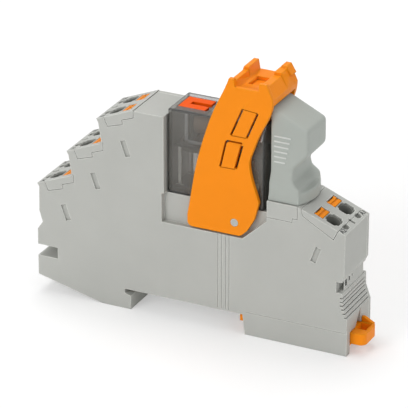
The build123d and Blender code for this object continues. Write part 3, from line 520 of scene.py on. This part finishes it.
grip = {
    "count": 6, "top": 11.2, "pitch": 1.13, "wall": 48.6, "lift": 0.02,
    "leansBelow": 8.9, "leanHeight": 4.0, "leanReach": 1.4,
}
housingShell = {
    "name": "HousingShell", "material": finishes["grey_housing"], "slot": "grey_housing", "body": "base",
    "openings": [
        {"name": "TestHole", "size": (1.9, 2.5), "corner": 0.55, "depth": 1.6,
         "places": nosePlaces(testPlace, (-4, 4))},
        {"name": "TestSlot", "size": (2.3, 1.0), "corner": 0.25, "depth": 1.6,
         "places": nosePlaces(testPlace, (0,))},
        {"name": "GripGroove", "size": (0.34, 16.4), "corner": 0.05, "depth": 0.8,
         "places": gripPlaces(grip)},
        {"name": "NotchDepth", "size": (1.4, 2.9), "corner": 0.1, "depth": 6.0, "places": [
            faceMatrix(Vector((47.45, -sideFace, 14.3)) * mm, (1, 0, 0), (0, -1, 0)),
        ]},
    ],
}
shell = nodeCopy("housing", housingShell["name"])
cutOpenings(shell, housingShell["openings"])
settle(shell, housingShell)
bpy.ops.object.shade_flat()
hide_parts("housing")
print("housing shell made")


def armPlaces(lines):
    # The middle of each line, on the outer face of both arms.
    places = []
    for start, end in lines:
        low, high = Vector((start[0], 0, start[1])), Vector((end[0], 0, end[1]))
        for side in (-1, 1):
            middle = (low + high) / 2 + Vector((0, side * sideFace, 0))
            places.append(faceMatrix(middle * mm, high - low, (0, side, 0)))
    return places


leverShell = {
    "name": "LeverShell", "material": finishes["orange_plastic"], "slot": "orange_plastic", "body": "lever",
    "openings": [
        {"name": "PanelLine", "size": (4.5, 0.3), "corner": 0.08, "depth": 0.4, "places": armPlaces(
            [((18.4, 61.3), (22.9, 60.9)), ((15.0, 53.0), (19.7, 53.0)), ((11.8, 43.1), (16.4, 43.2))],
        )},
    ],
}
shell = nodeCopy("lever", leverShell["name"])
cutOpenings(shell, leverShell["openings"])
settle(shell, leverShell)
bpy.ops.object.shade_smooth_by_angle(angle=math.radians(20))
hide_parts("lever")
print("lever shell made")


plugInShell = {
    "name": "PlugInShell", "material": finishes["grey_plug"], "slot": "grey_plug", "body": "base",
    "voxel": 0.2, "passes": 60, "crispBelow": 37.0, "fade": 1.5,
}
shell = nodeCopy("plug_in_housing", plugInShell["name"])
applied(shell, "REMESH", {"mode": "VOXEL", "voxel_size": plugInShell["voxel"] * mm})
soft = shell.vertex_groups.new(name="soft")
for point in shell.data.vertices:
    rise = (point.co.z / mm - plugInShell["crispBelow"]) / plugInShell["fade"]
    soft.add([point.index], min(1.0, max(0.0, rise)), "REPLACE")
applied(shell, "SMOOTH", {"factor": 0.5, "iterations": plugInShell["passes"], "vertex_group": "soft"})
settle(shell, plugInShell)
bpy.ops.object.shade_smooth_by_angle(angle=math.radians(40))
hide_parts("plug_in_housing")


def gripRib(details, length, middle):
    # One rib with rounded edges, set half into the wall.
    clearSelection()
    bpy.ops.mesh.primitive_cube_add(size=1.0, location=(0, 0, 0))
    piece = bpy.context.active_object
    piece.scale = [value * mm for value in (length, details["reach"] * 2, details["height"])]
    bpy.ops.object.transform_apply(scale=True)
    bpy.ops.object.mode_set(mode="EDIT")
    bpy.ops.mesh.select_all(action="SELECT")
    bpy.ops.mesh.bevel(offset=details["round"] * mm, segments=3, affect="EDGES")
    bpy.ops.object.mode_set(mode="OBJECT")
    piece.location = [value * mm for value in middle]
    return piece


# The ribs take the lighter rib finish, whose colour is a painted highlight on the plug-in's plastic.
plugInRibs = {
    "name": "PlugInRibs", "material": finishes["rib_grey"], "slot": "grey_plug", "body": "base",
    "count": 6, "start": 27.1, "ends": (32.0, 30.4), "first": 54.6, "pitch": 1.49, "height": 0.5,
    "reach": 0.35, "round": 0.16, "side": 6.22,
}
ribs = []
start = plugInRibs["start"]
topEnd, lowEnd = plugInRibs["ends"]
for step in range(plugInRibs["count"]):
    end = topEnd + (lowEnd - topEnd) * step / (plugInRibs["count"] - 1)
    level = plugInRibs["first"] - step * plugInRibs["pitch"]
    for side in (-1, 1):
        ribs.append(gripRib(plugInRibs, end - start, ((end + start) / 2, side * plugInRibs["side"], level)))
clearSelection()
for rib in ribs:
    rib.select_set(True)
bpy.context.view_layer.objects.active = ribs[0]
bpy.ops.object.join()
settle(bpy.context.active_object, plugInRibs)
bpy.ops.object.shade_smooth_by_angle(angle=math.radians(40))
print("plug-in shell made")

printing = {
    "material": printedInk({"name": "DarkInk", "base": (30, 30, 30)}), "slot": "dark_entry", "body": "base",
    "side": 6.6, "lift": 0.01, "spacing": 0.95, "bold": 0.03,
}
# Each mark's text, its face, and its side of the middle
marks = [
    ("A1", "coil", 1), ("A2", "coil", -1), ("14", "tier1", -1), ("24", "tier1", 1),
    ("11", "tier2", -1), ("21", "tier2", 1), ("12", "tier3", -1), ("22", "tier3", 1),
]
for words, face, side in marks:
    slope = slopes[face]
    spot = facePoint(slope, slope["markAlong"], side * printing["side"])
    spot = spot + slope["outward"] * (printing["lift"] * mm)
    reading = (0, 1, 0) if slope["climb"].x < 0 else (0, -1, 0)
    place = faceMatrix(spot, reading, slope["outward"])
    printMark(dict(printing, name=f"Mark{words}", text=words, height=slope["markHeight"], place=place))
print("marks made:", len(marks))


def coilLead(details):
    # A thin enamelled lead from the top of a coil pin up to the winding.
    clearSelection()
    bpy.ops.curve.primitive_bezier_curve_add(location=(0, 0, 0))
    piece = bpy.context.active_object
    spline = piece.data.splines[0]
    ends = (details["start"], details["end"])
    for point, place, pull in zip(spline.bezier_points, ends, details["pulls"]):
        centre = Vector((place[0], details["side"] * place[1], place[2])) * mm
        point.handle_left_type = "FREE"
        point.handle_right_type = "FREE"
        point.co = centre
        point.handle_left = centre - Vector(pull) * mm
        point.handle_right = centre + Vector(pull) * mm
    piece.data.bevel_depth = details["radius"] * mm
    piece.data.bevel_resolution = 2
    piece.data.use_fill_caps = True
    bpy.ops.object.convert(target="MESH")
    return settle(bpy.context.active_object, details)


coilLeads = {
    "material": finishes["copper_wire"], "slot": "copper_wire", "body": "relay",
    "start": (-2.4, 3.75, 45.0), "end": (2.1, 2.6, 49.8), "pulls": ((0.0, 0.0, 2.4), (1.2, 0.0, 0.6)),
    "radius": 0.11,
}
for name, side in (("CoilLeadFront", -1), ("CoilLeadBack", 1)):
    coilLead(dict(coilLeads, name=name, side=side))
print("coil leads made")


def seenDirectly(work):
    # One where the camera looks, or a mirror or clear plastic shows, and zero where light is gathered.
    paths = [work.node("ShaderNodeLightPath", output=name) for name in (
        "Is Camera Ray", "Is Glossy Ray", "Is Transmission Ray",
    )]
    either = work.node("ShaderNodeMath", {"operation": "MAXIMUM"}, {0: paths[0], 1: paths[1]})
    return work.node("ShaderNodeMath", {"operation": "MAXIMUM"}, {0: either, 1: paths[2]})


def paperFloor(look):
    # Pale paper that keeps the object's shadow, and is plain white to the camera further out.
    material, work = newFinish(look["name"])
    fibre = work.spread(work.noise(14, 3.0), 0.3, 0.7)
    tone = work.blend(fibre, (0.90, 0.90, 0.90, 1.0), (0.92, 0.92, 0.92, 1.0))
    paper = work.node("ShaderNodeBsdfPrincipled", None, {
        "Base Color": tone,
        "Roughness": 0.9,
        "Normal": work.bump(work.noise(900, 3.0), 0.05, 0.05 * mm),
        "Specular IOR Level": 0.2,
    })
    white = work.node("ShaderNodeEmission", None, {"Strength": look["white"]})
    away = work.node("ShaderNodeVectorMath", {"operation": "LENGTH"}, {0: work.place()}, "Value")
    shown = seenDirectly(work) * work.spread(away, *look["fade"], look["lift"], 1.0)
    work.finished(work.node("ShaderNodeMixShader", None, {0: shown, 1: paper, 2: white}))
    return material


def buildStage(details):
    bpy.ops.mesh.primitive_plane_add(size=details["size"], location=(0, 0, cadLow.z - details["gap"] * mm))
    floor = bpy.context.active_object
    floor.name = details["name"]
    floor.data.materials.append(paperFloor(details))


def buildLights(light):
    world = bpy.data.worlds.new("PaleRoom")
    bpy.context.scene.world = world
    world.use_nodes = True
    work = NodeWork(world.node_tree)
    strength = seenDirectly(work) * (1.0 - light["room"]) + light["room"]
    room = work.node("ShaderNodeBackground", None, {"Color": (1.0, 1.0, 1.0, 1.0), "Strength": strength})
    work.node("ShaderNodeOutputWorld", None, {"Surface": room})
    for lamp in light["lamps"]:
        glow = bpy.data.lights.new(lamp["name"], "AREA")
        glow.size = light["size"]
        glow.energy = lamp["power"]
        holder = bpy.data.objects.new(lamp["name"], glow)
        bpy.context.scene.collection.objects.link(holder)
        holder.location = lamp["place"]
        aim = Vector(light["aim"]) - Vector(lamp["place"])
        holder.rotation_euler = aim.to_track_quat("-Z", "Y").to_euler()


def buildCamera(view):
    # The photograph's angle, from the coil end and a little above, through a long lens.
    azimuth = math.radians(view["azimuth"])
    elevation = math.radians(view["elevation"])
    level = math.cos(elevation)
    back = Vector((math.sin(azimuth) * level, -math.cos(azimuth) * level, math.sin(elevation)))
    right = Vector((math.cos(azimuth), math.sin(azimuth), 0.0))
    up = back.cross(right)
    perMetre = view["pixelsPerMetre"]
    aimed = Vector(view["centre"]) * mm
    aimed = aimed + right * (view["across"] / perMetre) + up * (view["rise"] / perMetre)
    lens = bpy.data.cameras.new("PhotoLens")
    lens.sensor_width = view["sensor"]
    lens.lens = perMetre * view["away"] * view["sensor"] / view["picture"]
    lens.clip_start = 0.05
    lens.clip_end = 20.0
    camera = bpy.data.objects.new("PhotoCamera", lens)
    bpy.context.scene.collection.objects.link(camera)
    camera.location = aimed + back * view["away"]
    camera.rotation_euler = (-back).to_track_quat("-Z", "Y").to_euler()
    bpy.context.scene.camera = camera


buildStage({"name": "PaperFloor", "size": 6.0, "gap": 0.02, "white": 1.25, "lift": 0.28, "fade": (0.12, 0.5)})
buildLights({
    "room": 0.46, "size": 0.5, "aim": (0.0, 0.0, 0.03),
    "lamps": [
        {"name": "KeyLamp", "place": (-0.35, -0.80, 0.50), "power": 3.6},
        {"name": "RightLamp", "place": (0.80, -0.20, 0.35), "power": 1.3},
        {"name": "TopLamp", "place": (-0.15, 0.20, 0.85), "power": 3.4},
    ],
})
buildCamera({
    "azimuth": 26.0, "elevation": 25.0, "away": 1.0, "pixelsPerMetre": 3640.0, "picture": 408.0,
    "sensor": 36.0, "centre": (2.0, 0.0, 30.0), "across": 3.5, "rise": -11.0,
})
bpy.context.scene.view_settings.view_transform = "Standard"
print("stage, lights and camera set")
